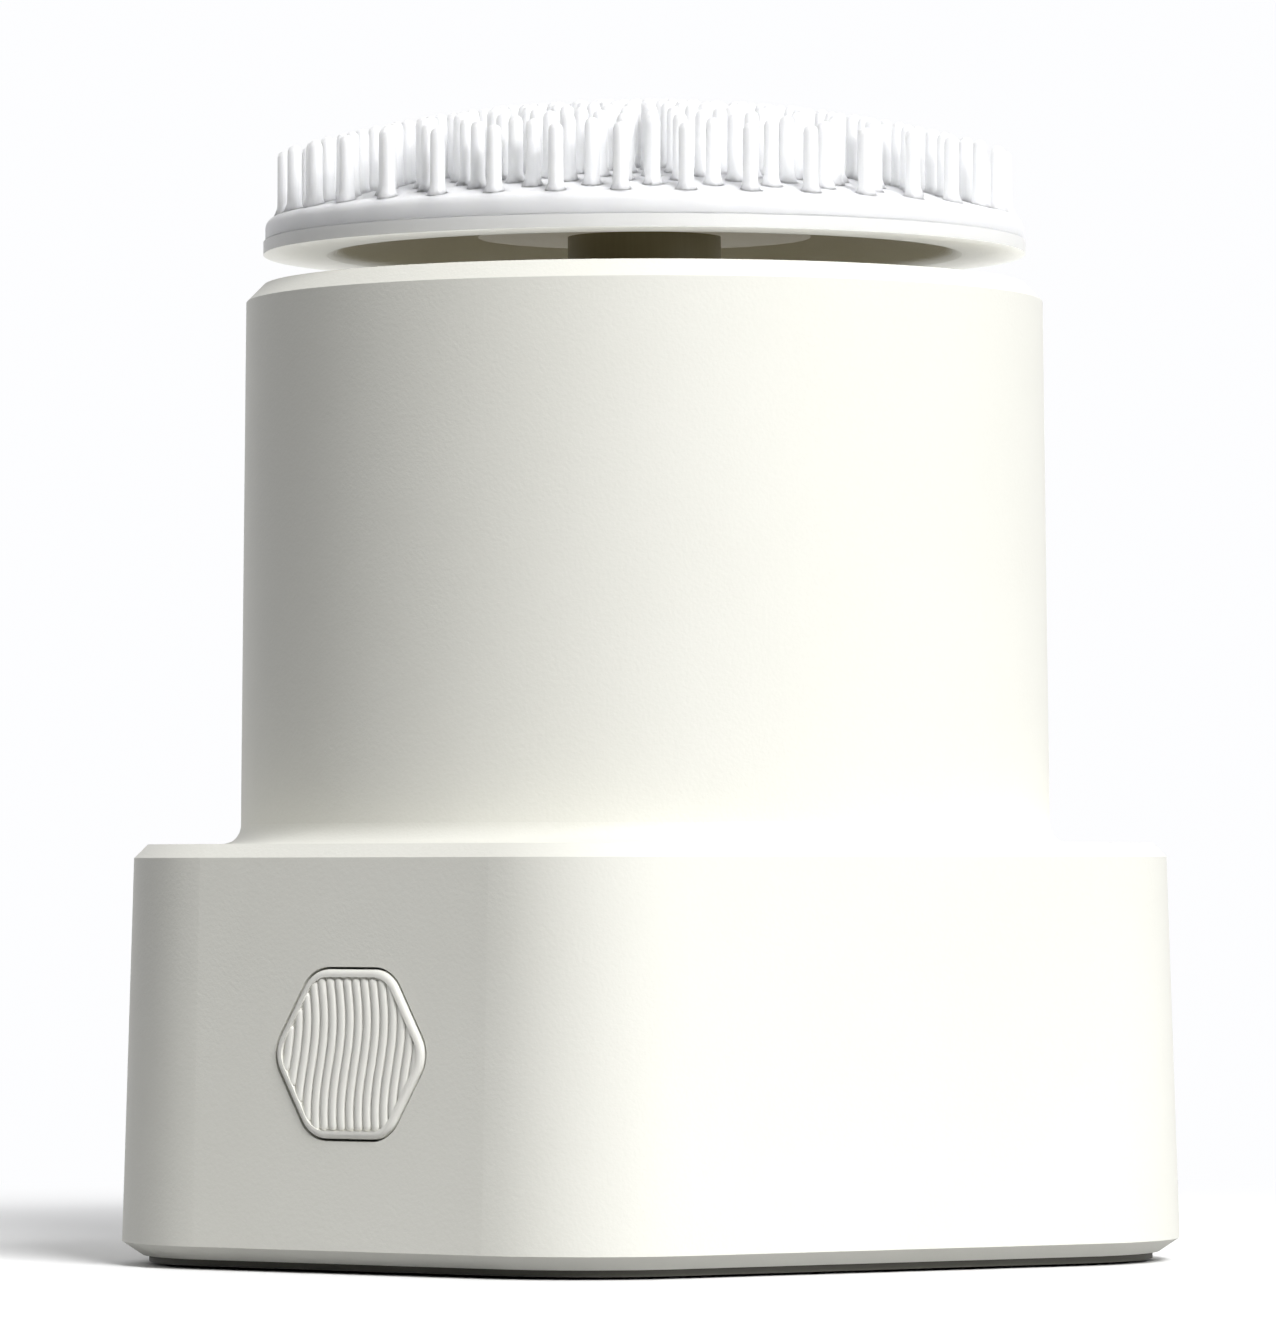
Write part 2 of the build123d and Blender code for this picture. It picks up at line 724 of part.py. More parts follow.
def button_guide():
    across = button_across + 2 * button_flange + 2 * button_gap
    corner = button_corner + button_flange + button_gap
    outside = hexagon(across + 2 * guide_wall, corner + guide_wall)
    ring = outside - hexagon(across, corner)
    front_y = button_face_y - 1
    guide = across_y(Pos(0, button_z) * ring, front_y, guide_back_y - front_y)
    guide &= wall_block(-wall - snug, lip_top_z, base_top_z - roof)
    guide += across_y(Pos(0, button_z) * (outside - Circle(plunger_boss_r + 2 * running)),
                      guide_back_y, guide_back_t)
    for side in (-1, 1):
        place = Pos(side * post_x, button_z)
        guide += across_y(place * Circle(post_r), guide_back_y + 0.5, board_y - guide_back_y - 0.5)
        guide -= across_y(place * Circle(screw_r + snug), guide_back_y - 1, 12)
    return guide


def control_board():
    board = across_y(Pos(0, button_z) * RectangleRounded(board_w, board_h, 1.5), board_y, board_t)
    for side in (-1, 1):
        board -= across_y(Pos(side * post_x, button_z) * Circle(screw_r + snug), board_y - 1, 5)
    chip = across_y(Pos(0, button_z + 10) * Rectangle(chip_w, chip_w), board_y - chip_h, chip_h)
    plug = across_y(Pos(0, button_z - 11) * Rectangle(10, 5), board_y - switch_t, switch_t)
    return board + chip + plug


def board_screws():
    screws = []
    for side in (-1, 1):
        place = Pos(side * post_x, board_y + board_t, button_z) * Rot(90, 0, 0)
        screws.append(place * screw(0, board_t + 3.0))
    return Compound(children=screws)


def tact_switch():
    front_y = board_y - switch_t
    body = across_y(Pos(0, button_z) * RectangleRounded(switch_w, switch_w, 0.4), front_y, switch_t)
    well = 1.2 + plunger_step
    return body - across_y(Pos(0, button_z) * Circle(plunger_r + running), front_y - 1, 1 + well)


def switch_plunger():
    end_y = board_y - switch_t + plunger_step
    return across_y(Pos(0, button_z) * Circle(plunger_r), boss_end_y, end_y - boss_end_y)


def power_socket():
    wall_reach = corner_r - wall
    start = wall_reach - socket_depth + wall - 0.6
    shell = socket_shape(0) - socket_shape(-socket_wall)
    socket = through_back(1, shell, start, socket_depth)
    socket += through_back(1, socket_shape(0), start - 1.0, 1.0)
    tongue = Pos(0, socket_z) * Rectangle(socket_w - 2.4, 0.7)
    return socket + through_back(1, tongue, start - 0.5, socket_depth - 1.5)


def power_board():
    depth = 11.0
    start = corner_r - wall - depth - 1.2
    top = socket_z - socket_h / 2
    shape = Pos(0, top - board_t / 2) * Rectangle(power_board_w, board_t)
    board = through_back(1, shape, start, depth)
    for side in (-1, 1):
        leg = Pos(side * 7.5, (plug_top_z + top - board_t) / 2) * Rectangle(3, top - board_t - plug_top_z)
        board += through_back(1, leg, start + 1, 3.0)
    return board


# ---------------------------------------------------------------- export
nodes = {
    "outer_casing": outer_casing,
    "base_plate": base_plate,
    "rubber_feet": rubber_feet,
    "base_screws": base_screws,
    "intake_grille_left": lambda: intake_grille(-1),
    "intake_grille_right": lambda: intake_grille(1),
    "filter_media": filter_media,
    "carbon_layer": carbon_layer,
    "prefilter_sleeve": prefilter_sleeve,
    "filter_bottom_cap": filter_bottom_cap,
    "filter_top_cap": filter_top_cap,
    "filter_gasket": filter_gasket,
    "fan_duct": fan_duct,
    "duct_screws": duct_screws,
    "motor_bracket": motor_bracket,
    "bracket_screws": bracket_screws,
    "motor_bearings": motor_bearings,
    "motor_stator": motor_stator,
    "rotor_magnet": rotor_magnet,
    "motor_shaft": motor_shaft,
    "impeller": impeller,
    "outlet_guard": outlet_guard,
    "guard_screws": guard_screws,
    "stem_bush": stem_bush,
    "stem_seal": stem_seal,
    "cap_stem": cap_stem,
    "stem_clip": stem_clip,
    "stem_screws": stem_screws,
    "cap_carrier": cap_carrier,
    "pin_cap": pin_cap,
    "button_cap": button_cap,
    "button_guide": button_guide,
    "control_board": control_board,
    "board_screws": board_screws,
    "tact_switch": tact_switch,
    "switch_plunger": switch_plunger,
    "power_socket": power_socket,
    "power_board": power_board,
}

for name, make in nodes.items():
    shape = make()
    print(f"{name:20s} volume {shape.volume:10.1f}")
    export_step(shape, f"parts/{name}.step")
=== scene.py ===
"""Looks of the desktop air purifier: its finishes, the ribs on its button, its cap of pins and a studio."""

from math import cos, hypot, pi, radians, sin, sqrt

import bpy
from mathutils import Matrix, Vector


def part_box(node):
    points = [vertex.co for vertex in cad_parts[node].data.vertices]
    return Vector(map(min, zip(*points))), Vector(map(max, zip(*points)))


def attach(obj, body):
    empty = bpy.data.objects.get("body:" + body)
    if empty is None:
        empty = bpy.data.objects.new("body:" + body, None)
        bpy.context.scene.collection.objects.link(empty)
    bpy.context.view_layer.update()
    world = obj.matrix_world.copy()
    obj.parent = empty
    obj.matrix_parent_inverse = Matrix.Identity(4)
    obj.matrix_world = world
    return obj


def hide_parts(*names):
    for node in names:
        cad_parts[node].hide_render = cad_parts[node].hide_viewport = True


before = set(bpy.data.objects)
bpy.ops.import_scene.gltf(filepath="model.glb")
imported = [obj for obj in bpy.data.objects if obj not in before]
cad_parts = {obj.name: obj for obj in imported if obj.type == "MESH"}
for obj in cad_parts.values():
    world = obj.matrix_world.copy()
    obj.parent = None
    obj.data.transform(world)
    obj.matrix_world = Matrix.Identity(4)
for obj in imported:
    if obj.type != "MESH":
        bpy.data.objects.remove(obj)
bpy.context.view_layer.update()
bpy.ops.object.select_all(action="DESELECT")


# ---------------------------------------------------------------- outer casing
# The base's shell and the tower are one injection moulding in warm off-white ABS. The
# mould was spark-eroded, so every outside face has the same fine, rounded grain.
class Shade:
    """A socket of a material: arithmetic on it adds Math nodes, add() brings any other node."""

    def __init__(self, tree, socket):
        self.tree, self.socket = tree, socket

    def add(self, kind, settings, inputs, out=0):
        node = self.tree.nodes.new(kind)
        for name, value in settings.items():
            setattr(node, name, value)
        for name, value in inputs.items():
            if isinstance(value, Shade):
                self.tree.links.new(value.socket, node.inputs[name])
            else:
                node.inputs[name].default_value = value
        return Shade(self.tree, node.outputs[out]) if len(node.outputs) else None

    def math(self, operation, first, second=0.0):
        return self.add("ShaderNodeMath", {"operation": operation}, {0: first, 1: second})

    def __add__(self, other):
        return self.math("ADD", self, other)

    def __radd__(self, other):
        return self.math("ADD", other, self)

    def __sub__(self, other):
        return self.math("SUBTRACT", self, other)

    def __rsub__(self, other):
        return self.math("SUBTRACT", other, self)

    def __mul__(self, other):
        return self.math("MULTIPLY", self, other)

    def __rmul__(self, other):
        return self.math("MULTIPLY", other, self)

    def noise(self, scale, detail=2.0, roughness=0.5):
        """Noise on this vector, as a value round 0.5; the scale is in features per metre."""
        return self.add("ShaderNodeTexNoise", {},
                        {"Vector": self, "Scale": scale, "Detail": detail, "Roughness": roughness})

    def axis(self, name):
        return self.add("ShaderNodeSeparateXYZ", {}, {"Vector": self}, "XYZ".index(name))

    def stretch(self, factors):
        """This vector with each of its axes multiplied."""
        return self.add("ShaderNodeVectorMath", {"operation": "MULTIPLY"}, {0: self, 1: factors})

    def length(self):
        return self.add("ShaderNodeVectorMath", {"operation": "LENGTH"}, {0: self}, 1)

    def along(self, direction):
        """How far this vector reaches in a direction."""
        return self.add("ShaderNodeVectorMath", {"operation": "DOT_PRODUCT"}, {0: self, 1: direction}, 1)

    def fade(self, start, end, low=0.0, high=1.0):
        """Low to high, without a corner, as this value goes from start to end."""
        return self.add("ShaderNodeMapRange", {"interpolation_type": "SMOOTHSTEP"},
                        {"Value": self, "From Min": start, "From Max": end, "To Min": low, "To Max": high})

    def blend(self, low, high):
        """A colour from low to high, each three numbers or a Shade, as this value goes from 0 to 1."""
        low, high = [end if isinstance(end, Shade) else (*end, 1.0) for end in (low, high)]
        return self.add("ShaderNodeMix", {"data_type": "RGBA"}, {0: self, 6: low, 7: high}, 2)


def new_finish(name):
    """An empty material, with the object's own coordinates to draw a pattern on."""
    material = bpy.data.materials.new(name)
    material.use_nodes = True
    material.node_tree.nodes.clear()
    root = Shade(material.node_tree, None)
    return material, root.add("ShaderNodeTexCoord", {}, {}, 3)


def close_finish(place, colour, roughness, height=None, depth=0.0, **more):
    """Ends a material: its surface, and the relief that a height in 0 to 1 gives it, depth in metres."""
    sockets = {"Base Color": colour, "Roughness": roughness, **more}
    if height:
        relief = {"Height": height, "Distance": depth, "Strength": 1.0}
        sockets["Normal"] = place.add("ShaderNodeBump", {}, relief)
    surface = place.add("ShaderNodeBsdfPrincipled", {}, sockets)
    place.add("ShaderNodeOutputMaterial", {}, {"Surface": surface})


def spark_grain(name, dark, light, roughness, pitch=0.00055, depth=0.000035):
    """Moulded plastic from a spark-eroded mould: rounded grain, a little cloudy in colour."""
    material, place = new_finish(name)
    coarse = place.noise(1 / pitch, 1.5, 0.45)
    fine = place.noise(2.6 / pitch, 1.0)
    grain = coarse * 0.75 + fine * 0.25
    cloud = place.noise(28.0, 3.0)
    tone = cloud * 0.6 + grain * 0.4
    close_finish(place, tone.blend(dark, light), roughness - 0.08 + grain * 0.16, grain, depth)
    return material


def dress(material, *names):
    """Gives a finish to the CAD nodes of these names."""
    for name in names:
        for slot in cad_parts[name].material_slots:
            slot.material = material


casing_finish = spark_grain("casing_finish", (0.770, 0.765, 0.700), (0.845, 0.840, 0.785), 0.58)
dress(casing_finish, "outer_casing")


# ---------------------------------------------------------------- base plate and feet
# A dark olive-grey plate closes the bottom and stands back from the casing, so that the
# body seems to float. It is held by five screws and stands on five rubber discs.
plate_finish = spark_grain("plate_finish", (0.075, 0.074, 0.058), (0.110, 0.108, 0.088), 0.62, 0.0008)
dress(plate_finish, "base_plate")


def soft_rubber(name, colour):
    material, place = new_finish(name)
    dust = place.noise(900.0, 4.0, 0.6)
    light = tuple(0.6 * part + 0.03 for part in colour)
    close_finish(place, dust.blend(colour, light), 0.78 + dust * 0.15, dust, 0.00002)
    return material


dress(soft_rubber("foot_rubber", (0.030, 0.030, 0.029)), "rubber_feet")


def turned_metal(name, dark, light, roughness, stretch=(40.0, 40.0, 6000.0)):
    """Bare or plated metal with fine marks round the Z axis, and a trace of tarnish."""
    material, place = new_finish(name)
    marks = place.stretch(stretch).noise(1.0, 3.0, 0.6)
    tarnish = place.noise(300.0, 3.0)
    tone = marks * 0.5 + tarnish * 0.5
    close_finish(place, tone.blend(dark, light), roughness - 0.1 + marks * 0.25,
                 marks, 0.000006, Metallic=1.0)
    return material


zinc = turned_metal("zinc", (0.50, 0.50, 0.49), (0.66, 0.66, 0.68), 0.38)
dress(zinc, "base_screws", "duct_screws", "bracket_screws", "stem_screws", "board_screws")
dress(turned_metal("black_zinc", (0.045, 0.045, 0.040), (0.09, 0.09, 0.08), 0.45), "guard_screws")


# ---------------------------------------------------------------- intake grilles
# Two slotted panels clip into the back faces from inside. They are moulded from the same
# plastic and grain as the casing.
dress(casing_finish, "intake_grille_left", "intake_grille_right")


# ---------------------------------------------------------------- filter
# A drop-in cartridge: pleated glass paper round a felt of carbon, inside a woven sleeve,
# glued between two moulded end caps, with a foam gasket on top.
def filter_paper():
    material, place = new_finish("filter_paper")
    fibre_run = place.stretch((2600.0, 2600.0, 700.0))
    fibres = fibre_run.noise(1.0, 4.0, 0.65)
    close_finish(place, fibres.blend((0.84, 0.84, 0.80), (0.95, 0.95, 0.93)), 0.92, fibres, 0.00006)
    return material


def carbon_felt():
    material, place = new_finish("carbon_felt")
    fluff = place.noise(2200.0, 5.0, 0.7)
    close_finish(place, fluff.blend((0.018, 0.018, 0.020), (0.060, 0.060, 0.066)), 0.95, fluff, 0.0002)
    return material


def woven_sleeve(thread=0.0011):
    """Threads up and round: the height follows the sleeve's own angle and height."""
    material, place = new_finish("woven_sleeve")
    angle = place.math("ARCTAN2", place.axis("Y"), place.axis("X"))
    sleeve_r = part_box("prefilter_sleeve")[1].x
    round_way = place.math("SINE", angle * (round(2 * pi * sleeve_r / thread)))
    up_way = place.math("SINE", place.axis("Z") * (2 * pi / thread))
    weave = round_way * up_way * 0.5 + 0.5
    close_finish(place, weave.blend((0.20, 0.21, 0.22), (0.42, 0.43, 0.45)), 0.85, weave, 0.00015)
    return material


dress(filter_paper(), "filter_media")
dress(carbon_felt(), "carbon_layer")
dress(woven_sleeve(), "prefilter_sleeve")
dress(spark_grain("cartridge_plastic", (0.70, 0.71, 0.71), (0.78, 0.79, 0.80), 0.5, 0.001, 0.00002),
      "filter_bottom_cap", "filter_top_cap")
dress(soft_rubber("seal_rubber", (0.035, 0.035, 0.036)), "filter_gasket", "stem_seal")


# ---------------------------------------------------------------- fan and motor
# The duct and the bracket are glass-filled black plastic. The motor is an outrunner: the
# impeller's hub carries a ferrite ring that turns round a stack of stamped steel.
inner_plastic = spark_grain("inner_plastic", (0.030, 0.030, 0.030), (0.055, 0.055, 0.056), 0.5, 0.0012)
dress(inner_plastic, "fan_duct", "motor_bracket", "button_guide")
dress(spark_grain("impeller_plastic", (0.042, 0.043, 0.046), (0.068, 0.069, 0.074), 0.36, 0.002, 0.000012),
      "impeller")
dress(turned_metal("ground_steel", (0.52, 0.52, 0.53), (0.70, 0.70, 0.72), 0.24),
      "motor_bearings", "motor_shaft")


def laminations(sheet=0.0005):
    """Sheets of silicon steel on top of one another, seen as fine level lines."""
    material, place = new_finish("laminations")
    sheets = place.math("PINGPONG", place.axis("Z") * (2 / sheet), 1.0)
    stain = place.noise(500.0, 3.0)
    tone = sheets * 0.6 + stain * 0.4
    close_finish(place, tone.blend((0.16, 0.15, 0.15), (0.46, 0.45, 0.46)), 0.35 + stain * 0.2,
                 sheets, 0.00005, Metallic=1.0)
    return material


def ferrite():
    material, place = new_finish("ferrite")
    grit = place.noise(3500.0, 4.0, 0.7)
    close_finish(place, grit.blend((0.050, 0.048, 0.050), (0.12, 0.12, 0.125)), 0.55 + grit * 0.2,
                 grit, 0.00003)
    return material


dress(laminations(), "motor_stator")
dress(ferrite(), "rotor_magnet")


# ---------------------------------------------------------------- outlet guard, bush and stem
# A ring of upright vanes in dark olive plastic fills the tower's mouth. Its hub holds an
# acetal bush, and the cap's polished stem slides in that.
dress(spark_grain("guard_plastic", (0.300, 0.280, 0.190), (0.360, 0.335, 0.240), 0.55, 0.0007),
      "outlet_guard")
dress(spark_grain("bush_acetal", (0.17, 0.16, 0.13), (0.22, 0.21, 0.17), 0.40, 0.0015, 0.00001), "stem_bush")
dress(turned_metal("spring_steel", (0.30, 0.30, 0.31), (0.44, 0.44, 0.46), 0.35), "stem_clip")


def polished_stem():
    """Dark olive acetal, worn by sliding: faint marks up and down."""
    material, place = new_finish("stem_acetal")
    wear = place.stretch((3000.0, 3000.0, 120.0)).noise(1.0, 3.0, 0.6)
    close_finish(place, wear.blend((0.260, 0.225, 0.120), (0.330, 0.290, 0.165)), 0.38 + wear * 0.2,
                 wear, 0.000008)
    return material


dress(polished_stem(), "cap_stem")


# ---------------------------------------------------------------- cap carrier
# The cap's lower half is printed in resin, its outside down. The flat ring and the recess
# show the layers as fine circles round the stem.
def layered_resin(name, dark, light, ring, layer, depth, roughness, milk, recess_r=None, disc_r=None):
    """Printed resin: circles on level faces, level lines on upright ones, light inside it.

    Below, a painted glow stands in for the light that reaches the underside of the cap: strongest on
    the flat rim, faint on the roof of the recess and a little more on the thin disc round the stem.
    """
    material, place = new_finish(name)
    reach = place.stretch((1.0, 1.0, 0.0)).length()
    uneven = place.noise(90.0, 2.0) * 0.6
    circles = place.math("SINE", reach * (2 * pi / ring) + uneven * 4) * 0.5 + 0.5
    levels = place.math("SINE", place.axis("Z") * (2 * pi / layer) + uneven) * 0.5 + 0.5
    steps = circles * 0.6 + levels * 0.4
    pores = place.noise(4200.0, 2.0)
    tone = steps * 0.45 + place.noise(120.0, 3.0) * 0.55
    sockets = {"Subsurface Weight": milk, "Subsurface Radius": (1.0, 1.0, 0.95), "Subsurface Scale": 0.004}
    # painted glow: faces that look down emit light, standing in for light under the cap; the rim glows most
    if recess_r:
        facing = place.add("ShaderNodeTexCoord", {}, {}, 1)
        below = place.math("LESS_THAN", facing.axis("Z"), -0.5)
        rim = reach.fade(recess_r - 0.003, recess_r + 0.001)
        disc = place.math("LESS_THAN", reach, disc_r)
        painted_roof_glow = disc.blend((0.062, 0.052, 0.027), (0.150, 0.138, 0.110))
        painted_glow = rim.blend(painted_roof_glow, (0.36, 0.36, 0.34))
        sockets["Emission Color"] = below.blend((0.0, 0.0, 0.0), painted_glow)
        sockets["Emission Strength"] = 1.0
    close_finish(place, tone.blend(dark, light), roughness + pores * 0.12, steps * 0.8 + pores * 0.2, depth,
                 **sockets)
    return material


lip_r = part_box("cap_carrier")[1].x
lip_width = 0.0095
# the carrier's underside carries a painted glow, set by recess_r and disc_r
carrier_resin = layered_resin("carrier_resin", (0.78, 0.78, 0.76), (0.88, 0.88, 0.86), 0.00045, 0.0001,
                              0.00003, 0.42, 0.3, recess_r=lip_r - lip_width, disc_r=0.0251)
dress(carrier_resin, "cap_carrier")


# ---------------------------------------------------------------- cap of pins
# The upper half is printed in a milky resin: a low dome with a rounded bead, and hundreds
# of upright pins in staggered rings, each flared where it grows out of the dome.
cap_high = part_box("pin_cap")[1]
lip_height = 0.0019
bead_height = 0.0035
bead_round = 0.0015
pin_height = 0.0096
lip_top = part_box("cap_carrier")[0].z + lip_height
bead_r = cap_high.x
bead_top = lip_top + bead_height
dome_top = cap_high.z - pin_height
dome_edge = bead_r - bead_round
dome_skin = 0.0022
ball = (dome_edge ** 2 + (dome_top - bead_top) ** 2) / (2 * (dome_top - bead_top))


def dome_height(reach):
    return dome_top - ball + sqrt(ball ** 2 - reach ** 2)


def lathe(name, outline, steps):
    """A closed outline of (radius, height) points, spun once round the Z axis."""
    bpy.ops.mesh.primitive_circle_add(vertices=len(outline), radius=1.0, location=(0, 0, 0))
    piece = bpy.context.object
    piece.name = name
    for vertex, (reach, height) in zip(piece.data.vertices, outline):
        vertex.co = (reach, 0.0, height)
    bpy.ops.object.mode_set(mode="EDIT")
    bpy.ops.mesh.select_all(action="SELECT")
    bpy.ops.mesh.spin(steps=steps, angle=2 * pi, center=(0, 0, 0), axis=(0, 0, 1))
    bpy.ops.mesh.select_all(action="SELECT")
    bpy.ops.mesh.remove_doubles(threshold=1e-6)
    bpy.ops.mesh.normals_make_consistent(inside=False)
    bpy.ops.object.mode_set(mode="OBJECT")
    return piece


rings_of_dome = 26
skirt_width = 0.0069
edge_break = 0.0003
skirt_r = bead_r - skirt_width
outline = [(reach, dome_height(reach) - dome_skin)
           for reach in [skirt_r * i / rings_of_dome for i in range(rings_of_dome + 1)]]
outline += [(skirt_r, lip_top), (bead_r - edge_break, lip_top), (bead_r, lip_top + edge_break)]
bead_turn = [radians(a) for a in range(0, 91, 10)]
outline += [(dome_edge + bead_round * cos(turn), bead_top - bead_round + bead_round * sin(turn))
            for turn in bead_turn]
outline += [(reach, dome_height(reach))
            for reach in [dome_edge * (1 - i / rings_of_dome) for i in range(1, rings_of_dome + 1)]]
pin_cap = lathe("pin_dome", outline, 180)

# one pin: a ten-sided post, flared at its foot and rounded at its top
pin_r = 0.00115
flare = 0.0007
pin_shape = [(pin_r + flare, -0.0006), (pin_r + 0.45 * flare, 0.00028), (pin_r + 0.08 * flare, 0.0009),
             (pin_r, 0.0016), (0.97 * pin_r, pin_height - 0.95 * pin_r),
             (0.80 * pin_r, pin_height - 0.38 * pin_r), (0.42 * pin_r, pin_height - 0.08 * pin_r)]
bpy.ops.object.select_all(action="DESELECT")
bpy.ops.mesh.primitive_circle_add(vertices=10, radius=pin_shape[0][0], fill_type="NGON",
                                  location=(0, 0, pin_shape[0][1]))
pin = bpy.context.object
bpy.ops.object.transform_apply(location=True)
bpy.ops.object.mode_set(mode="EDIT")
bpy.ops.mesh.select_all(action="SELECT")
for (wide, low), (narrow, high) in zip(pin_shape, pin_shape[1:]):
    bpy.ops.mesh.extrude_region_move(TRANSFORM_OT_translate={"value": (0, 0, high - low)})
    bpy.ops.transform.resize(value=(narrow / wide, narrow / wide, 1), center_override=(0, 0, high))
bpy.ops.mesh.extrude_region_move(TRANSFORM_OT_translate={"value": (0, 0, pin_height - pin_shape[-1][1])})
bpy.ops.mesh.merge(type="CENTER")
bpy.ops.mesh.select_all(action="SELECT")
bpy.ops.mesh.normals_make_consistent(inside=False)
bpy.ops.object.mode_set(mode="OBJECT")

# rings of 36 pins, thinning out to one in the middle
outer_inset = 0.0028
outer_ring = bead_r - outer_inset
ring_step = 0.00375
ring_turn = radians(1.6)
ring_counts = 10 * [36] + [24, 18, 12, 6, 1]
pins = []
for ring, count in enumerate(ring_counts):
    reach = outer_ring - ring * ring_step if count > 1 else 0.0
    start = ring_turn + (pi / count if ring % 2 else 0.0)
    for i in range(count):
        angle = start + 2 * pi * i / count
        copy = pin.copy()
        copy.data = pin.data.copy()
        bpy.context.collection.objects.link(copy)
        foot = (reach * cos(angle), reach * sin(angle), dome_height(reach))
        copy.data.transform(Matrix.Translation(foot))
        pins.append(copy)
bpy.data.objects.remove(pin)
bpy.ops.object.select_all(action="DESELECT")
for copy in [pin_cap] + pins:
    copy.select_set(True)
bpy.context.view_layer.objects.active = pin_cap
bpy.ops.object.join()
bpy.ops.object.shade_smooth_by_angle(angle=radians(40))
pin_cap.data.materials.append(layered_resin("cap_resin", (0.85, 0.86, 0.875), (0.92, 0.925, 0.93),
                                            0.0004, 0.0001, 0.000012, 0.40, 0.9))
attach(pin_cap, "cap")
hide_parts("pin_cap")


# ---------------------------------------------------------------- button
# The hexagonal button is moulded in satin off-white ABS. Its face is a shallow tray, and
# rounded ribs stand in it side by side, each drawn as a gentle S from edge to edge.
def satin_plastic(name, dark, light):
    material, place = new_finish(name)
    cloud = place.noise(60.0, 3.0)
    orange_peel = place.noise(1300.0, 2.0)
    tone = cloud * 0.7 + orange_peel * 0.3
    close_finish(place, tone.blend(dark, light), 0.40 + orange_peel * 0.12, orange_peel, 0.000006)
    return material


button_finish = satin_plastic("button_finish", (0.845, 0.838, 0.785), (0.90, 0.895, 0.845))
dress(button_finish, "button_cap")

button_low, button_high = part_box("button_cap")
button_z = (button_low.z + button_high.z) / 2
button_flange = 0.0014
button_half = (button_high.z - button_low.z) / 2 - button_flange
button_rim = 0.0011
edge_round = 0.0008
wall_lean = radians(1.8)
tray_depth = 0.00055
tray_half = button_half - button_rim    # from the middle to a flat side of the tray
tray_corner = 0.0039
rib_pitch = 0.00153
rib_count = 16
rib_wave = 0.00067
wave_length = 0.0246
wave_middle = -0.0017
rib_height = 0.00046
rib_bite = 0.0004        # how far a rib runs under the slanting rim
rib_gap = 0.0001         # from its round ends to the level rim


def tray_margin(x, z):
    """How far inside the edge of the tray a point of the face is; negative beyond the edge."""
    core = tray_half - tray_corner
    x, z = abs(x), abs(z)
    fold = min(z - sqrt(3) * x, 0.0)
    x, z = x + fold * sqrt(3) / 2, z - fold / 2
    side = core / sqrt(3)
    beside, beyond = x - min(max(x, -side), side), z - core
    gap = hypot(beside, beyond)
    return tray_corner - (gap if beyond > 0 else -gap)


def rib_x(middle, z):
    return middle + rib_wave * sin(2 * pi * (z - wave_middle) / wave_length)


def rib_end(middle, way, step=0.00005):
    """Height where a rib runs into the rim, or stops short of its level sides."""
    z = wave_middle
    while abs(z) < tray_half - rib_gap:
        ahead = z + way * step
        if tray_margin(rib_x(middle, ahead), ahead) <= -rib_bite:
            break
        z = ahead
    return z


def rib_line(middle, count=26):
    """Points of one rib as (place, radius factor): an S that thins to round ends."""
    low, high = rib_end(middle, -1), rib_end(middle, 1)
    for i in range(count + 1):
        z = (low + high) / 2 - (high - low) / 2 * cos(pi * i / count)
        end = max(0.0, min(1.0, min(high - z, z - low) / (0.4 * rib_pitch)))
        yield (rib_x(middle, z), 0.0, z), max(0.08, sqrt(1 - (1 - end) ** 2))


rods = []
for i in range(rib_count):
    middle = (i - (rib_count - 1) / 2) * rib_pitch
    curve = bpy.data.curves.new("rib_line", "CURVE")
    curve.dimensions = "3D"
    curve.bevel_depth = 0.5 * rib_pitch
    curve.bevel_resolution = 4
    curve.use_fill_caps = True
    line = list(rib_line(middle))
    spline = curve.splines.new("POLY")
    spline.points.add(len(line) - 1)
    for point, (place, factor) in zip(spline.points, line):
        point.co = (*place, 1.0)
        point.radius = factor
    rod = bpy.data.objects.new("button_ribs", curve)
    bpy.context.collection.objects.link(rod)
    rods.append(rod)
bpy.ops.object.select_all(action="DESELECT")
for rod in rods:
    rod.select_set(True)
bpy.context.view_layer.objects.active = rods[0]
bpy.ops.object.convert(target="MESH")
bpy.ops.object.join()
button_ribs = bpy.context.object
bpy.ops.object.shade_smooth_by_angle(angle=radians(50))
face_y = button_low.y + (button_half - edge_round) * sin(wall_lean) + tray_depth
button_ribs.data.transform(Matrix.Diagonal((1.0, 2 * rib_height / rib_pitch, 1.0, 1.0)))
button_ribs.data.transform(Matrix.Rotation(-wall_lean, 4, "X"))
button_ribs.data.transform(Matrix.Translation((0.0, face_y, button_z)))
button_ribs.name = "button_ribs"
button_ribs.data.materials.append(button_finish)
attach(button_ribs, "button")


# ---------------------------------------------------------------- control board and switch
# Behind the button a small green board carries a sealed switch, whose red plunger the
# button's boss pushes. The circuit's tracks run level and upright under the green lacquer.
def lacquered_board(track=0.0012):
    material, place = new_finish("lacquered_board")
    sideways = place.math("PINGPONG", place.axis("X") * (2 / track), 1.0)
    upwards = place.math("PINGPONG", (place.axis("Z") + place.axis("Y")) * (2 / track), 1.0)
    region = place.math("GREATER_THAN", place.noise(160.0, 0.0), 0.5)
    line = sideways * region + upwards * (1 - region)
    copper = place.math("GREATER_THAN", line, 0.62)
    close_finish(place, copper.blend((0.010, 0.075, 0.030), (0.030, 0.170, 0.070)), 0.22 + copper * 0.1,
                 copper, 0.00003)
    return material


board_finish = lacquered_board()
dress(board_finish, "control_board", "power_board")
dress(spark_grain("switch_body", (0.018, 0.018, 0.018), (0.034, 0.034, 0.034), 0.32, 0.0008, 0.000006),
      "tact_switch")
dress(spark_grain("switch_plunger", (0.33, 0.045, 0.035), (0.42, 0.060, 0.045), 0.42, 0.0008, 0.000006),
      "switch_plunger")


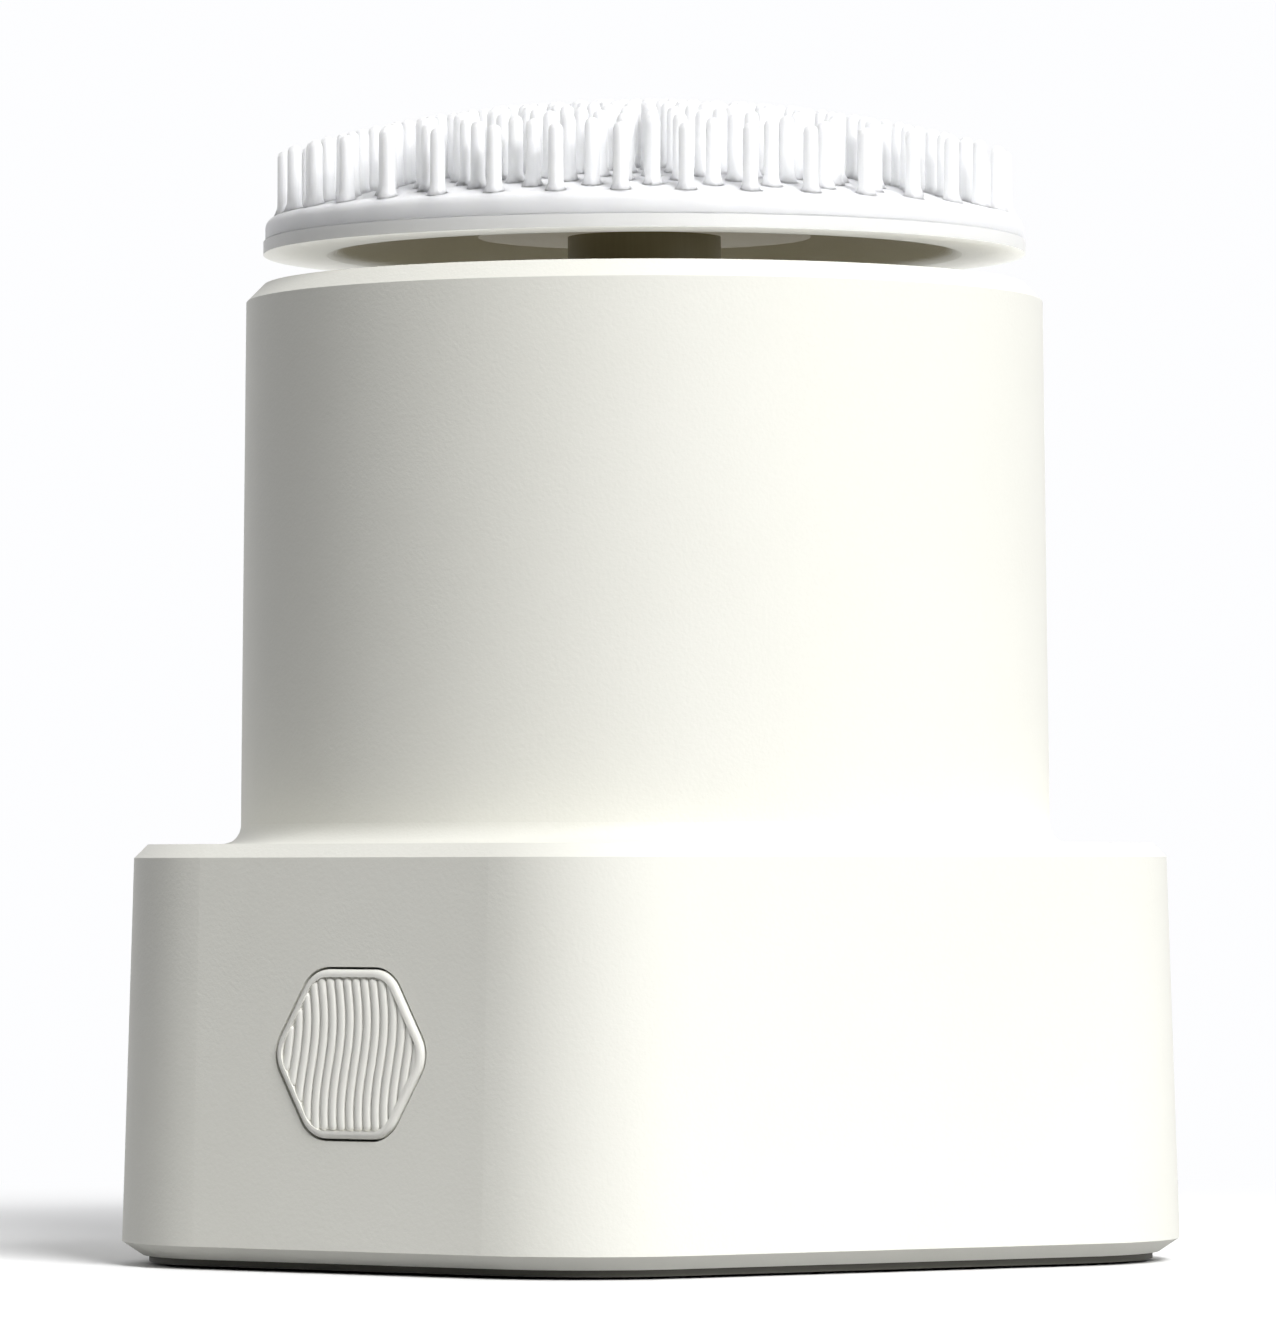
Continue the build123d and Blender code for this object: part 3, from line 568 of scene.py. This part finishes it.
# ---------------------------------------------------------------- power inlet
# A stamped and plated shell with a tongue, let into the casing low down under the right
# intake grille. Its opening takes a small low-voltage plug.
dress(turned_metal("plated_shell", (0.55, 0.55, 0.56), (0.72, 0.72, 0.74), 0.28, (300.0, 300.0, 5000.0)),
      "power_socket")


# ---------------------------------------------------------------- studio
# A pale sweep under and behind the object, a broad soft key light from above on the right,
# a low one that looks into the gap under the cap, and a bright room behind.
camera_turn = radians(35.2)        # round the axis, from the button's face to its right
camera_reach = 1.25
camera_height = 0.0575
camera_pitch = radians(1.40)
camera_yaw = 0.00084
camera_roll = -0.0015
studio_white = (0.985, 0.988, 1.0)

bpy.ops.object.select_all(action="DESELECT")
bpy.ops.mesh.primitive_plane_add(size=60.0, location=(0, 0, 0))
floor = bpy.context.object
floor.name = "studio_floor"
floor_finish, place = new_finish("studio_paper")
fibre = place.noise(40.0, 3.0)
seen = place.add("ShaderNodeLightPath", {}, {}, 0)
far = place.length().fade(0.10, 0.32)
behind = (-sin(camera_turn), cos(camera_turn), 0.0)
back_half = place.along(behind).fade(-0.05, 0.30)
bounce = 0.46 - far * 0.38
paper = (seen * 0.94 + (1 - seen) * bounce + fibre * 0.02).blend((0.0, 0.0, 0.0), (1.0, 1.0, 1.0))
paper_surface = place.add("ShaderNodeBsdfDiffuse", {}, {"Color": paper})
white = place.add("ShaderNodeEmission", {}, {"Color": (*studio_white, 1.0)})
whiteness = far * (seen + (1 - seen) * back_half)
sweep = place.add("ShaderNodeMixShader", {}, {0: whiteness, 1: paper_surface, 2: white})
place.add("ShaderNodeOutputMaterial", {}, {"Surface": sweep})
floor.data.materials.append(floor_finish)

bpy.ops.object.camera_add(
    location=(camera_reach * sin(camera_turn), -camera_reach * cos(camera_turn), camera_height),
    rotation=(pi / 2 + camera_pitch, 0.0, camera_turn + camera_yaw))
camera = bpy.context.object
camera.data.sensor_width = 36.0
camera.data.lens = 224.5
camera.data.clip_end = 200.0
camera.rotation_euler.rotate_axis("Z", camera_roll)
bpy.context.scene.camera = camera


def soft_light(name, turn, lift, reach, width, power):
    """A square lamp that looks at the object; turn is in degrees from the camera, to the right."""
    heading = camera_turn + radians(turn)
    target = Vector((0, 0, 0.09))
    place = target + reach * Vector((sin(heading) * cos(radians(lift)), -cos(heading) * cos(radians(lift)),
                                     sin(radians(lift))))
    bpy.ops.object.light_add(type="AREA", location=place)
    lamp = bpy.context.object
    lamp.name = name
    lamp.rotation_euler = (target - place).to_track_quat("-Z", "Y").to_euler()
    lamp.data.size = width
    lamp.data.energy = power
    return lamp


soft_light("key_light", 28.0, 38.0, 2.2, 0.9, 57.5)
soft_light("low_fill", 62.0, 1.5, 1.6, 0.5, 5.0)

world = bpy.data.worlds.new("studio_room")
world.use_nodes = True
world.node_tree.nodes.clear()
room = Shade(world.node_tree, None)
look = room.add("ShaderNodeTexCoord", {}, {}, 0)
front_to_back = look.along(behind).fade(-0.25, 0.35, 0.03, 1.0)
seen = room.add("ShaderNodeLightPath", {}, {}, 0)
strength = seen + (1 - seen) * front_to_back
backdrop = room.add("ShaderNodeBackground", {}, {"Color": (*studio_white, 1.0), "Strength": strength})
room.add("ShaderNodeOutputWorld", {}, {"Surface": backdrop})
bpy.context.scene.world = world
bpy.context.scene.view_settings.view_transform = "Standard"
